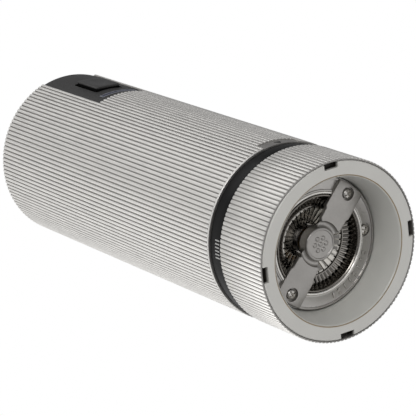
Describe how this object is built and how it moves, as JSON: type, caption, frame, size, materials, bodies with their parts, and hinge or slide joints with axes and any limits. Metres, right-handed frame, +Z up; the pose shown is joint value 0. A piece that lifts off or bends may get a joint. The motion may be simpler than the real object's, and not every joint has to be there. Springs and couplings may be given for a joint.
{
  "type": "pepper mill",
  "caption": "Upright rechargeable pepper mill: ribbed lift-off sleeve with push button and geared motor over a clear hopper, cone burr and turning grind adjuster ring.",
  "frame": {"origin": "centre of the grinding end, in the plane it stands on", "axes": "+Z up the mill from the grinding end to the top; the push button faces -Y"},
  "size_m": [0.053, 0.053, 0.15],
  "materials": {
    "ribbed_metal": "satin, fine ribs",
    "insert_plastic": "fine satin",
    "black_plastic": "fine matt grain",
    "plate_steel": "satin pressed steel",
    "screw_steel": "plated",
    "burr_steel": "machined",
    "shaft_steel": "ground",
    "spring_steel": "drawn wire",
    "bush_bronze": "sintered",
    "white_acetal": "moulded",
    "gear_grey": "moulded",
    "sun_brass": "cut",
    "motor_steel": "plated can",
    "hopper_clear": "clear polymer",
    "seal_rubber": "silicone",
    "lens_blue": "tinted gloss",
    "cell_wrap": "shrink wrap",
    "tab_nickel": "nickel strip",
    "board_green": "solder mask",
    "switch_black": "moulded",
    "led_white": "moulded lens"
  },
  "bodies": {
    "lower_unit": {"chassis": "black_plastic", "ring_burr": "burr_steel", "mechanism_plate": "plate_steel", "plate_screws": "screw_steel", "crossbar": "plate_steel", "crossbar_screws": "screw_steel", "spindle_bush": "bush_bronze", "detent_ball": "shaft_steel", "detent_spring": "spring_steel", "hopper_cup": "hopper_clear", "hopper_gasket": "seal_rubber", "lifter_springs": "spring_steel"},
    "adjuster": {"grip_ring": "ribbed_metal", "base_insert": "insert_plastic", "scale_band": "black_plastic", "adjuster_cam": "white_acetal"},
    "lifter": {"burr_lifter": "white_acetal", "lifter_bush": "bush_bronze"},
    "spindle": {"drive_shaft": "shaft_steel", "cone_burr": "burr_steel", "burr_clip": "shaft_steel", "thrust_washer": "shaft_steel", "shaft_clip": "shaft_steel"},
    "upper_unit": {"sleeve": "ribbed_metal", "control_panel": "black_plastic", "indicator_lens": "lens_blue", "light_guide": "hopper_clear", "top_cap": "black_plastic", "drive_housing": "black_plastic", "gearbox_base": "black_plastic", "gear_housing": "gear_grey", "motor_plate": "motor_steel", "gearbox_screws": "screw_steel", "motor_can": "motor_steel", "motor_end_cap": "black_plastic", "motor_screws": "screw_steel", "battery_cell": "cell_wrap", "battery_tabs": "tab_nickel", "battery_cradle": "black_plastic", "circuit_board": "board_green", "tact_switch": "switch_black", "indicator_led": "led_white", "charge_port": "tab_nickel"},
    "button": {"push_button": "black_plastic"},
    "output_carrier": {"output_carrier": "white_acetal"},
    "stage_carrier": {"stage_carrier": "white_acetal", "output_sun": "white_acetal"},
    "motor_rotor": {"motor_shaft": "shaft_steel", "input_sun": "sun_brass"},
    "output_planet_1": {"output_planet_1": "white_acetal"},
    "output_planet_2": {"output_planet_2": "white_acetal"},
    "output_planet_3": {"output_planet_3": "white_acetal"},
    "input_planet_1": {"input_planet_1": "white_acetal"},
    "input_planet_2": {"input_planet_2": "white_acetal"},
    "input_planet_3": {"input_planet_3": "white_acetal"}
  },
  "joints": [
    {"name": "adjuster_turn", "type": "hinge", "parent": "lower_unit", "child": "adjuster", "pos_m": [0, 0, 0.02], "axis": [0, 0, 1], "range_deg": [0, 90]},
    {"name": "lifter_slide", "type": "slide", "parent": "lower_unit", "child": "lifter", "axis": [0, 0, -1], "range_m": [0, 0.0009], "deforming": ["lifter_springs"]},
    {"name": "spindle_spin", "type": "hinge", "parent": "lifter", "child": "spindle", "pos_m": [0, 0, 0.02], "axis": [0, 0, 1], "continuous": true},
    {"name": "upper_lift", "type": "slide", "parent": "lower_unit", "child": "upper_unit", "axis": [0, 0, 1], "range_m": [0, 0.1]},
    {"name": "button_press", "type": "slide", "parent": "upper_unit", "child": "button", "axis": [0, 1, 0], "range_m": [0, 0.0005], "stiffness_N_per_m": 2000, "springref_m": -0.0004},
    {"name": "output_spin", "type": "hinge", "parent": "upper_unit", "child": "output_carrier", "pos_m": [0, 0, 0.073], "axis": [0, 0, 1], "continuous": true},
    {"name": "stage_spin", "type": "hinge", "parent": "upper_unit", "child": "stage_carrier", "pos_m": [0, 0, 0.08], "axis": [0, 0, 1], "continuous": true},
    {"name": "motor_spin", "type": "hinge", "parent": "upper_unit", "child": "motor_rotor", "pos_m": [0, 0, 0.1], "axis": [0, 0, 1], "continuous": true},
    {"name": "output_planet_1_spin", "type": "hinge", "parent": "output_carrier", "child": "output_planet_1", "pos_m": [0.0075, 0, 0.0767], "axis": [0, 0, 1], "continuous": true},
    {"name": "output_planet_2_spin", "type": "hinge", "parent": "output_carrier", "child": "output_planet_2", "pos_m": [-0.00375, 0.0065, 0.0767], "axis": [0, 0, 1], "continuous": true},
    {"name": "output_planet_3_spin", "type": "hinge", "parent": "output_carrier", "child": "output_planet_3", "pos_m": [-0.00375, -0.0065, 0.0767], "axis": [0, 0, 1], "continuous": true},
    {"name": "input_planet_1_spin", "type": "hinge", "parent": "stage_carrier", "child": "input_planet_1", "pos_m": [0.0075, 0, 0.0844], "axis": [0, 0, 1], "continuous": true},
    {"name": "input_planet_2_spin", "type": "hinge", "parent": "stage_carrier", "child": "input_planet_2", "pos_m": [-0.00375, 0.0065, 0.0844], "axis": [0, 0, 1], "continuous": true},
    {"name": "input_planet_3_spin", "type": "hinge", "parent": "stage_carrier", "child": "input_planet_3", "pos_m": [-0.00375, -0.0065, 0.0844], "axis": [0, 0, 1], "continuous": true}
  ],
  "couplings": [
    {"joint": "lifter_slide", "follows": "adjuster_turn", "m_per_rad": 0.0005729},
    {"joint": "output_spin", "follows": "spindle_spin", "ratio": 1},
    {"joint": "stage_spin", "follows": "spindle_spin", "ratio": 5},
    {"joint": "motor_spin", "follows": "spindle_spin", "ratio": 25},
    {"joint": "output_planet_1_spin", "follows": "spindle_spin", "ratio": -2.6667},
    {"joint": "output_planet_2_spin", "follows": "spindle_spin", "ratio": -2.6667},
    {"joint": "output_planet_3_spin", "follows": "spindle_spin", "ratio": -2.6667},
    {"joint": "input_planet_1_spin", "follows": "spindle_spin", "ratio": -13.333},
    {"joint": "input_planet_2_spin", "follows": "spindle_spin", "ratio": -13.333},
    {"joint": "input_planet_3_spin", "follows": "spindle_spin", "ratio": -13.333}
  ]
}
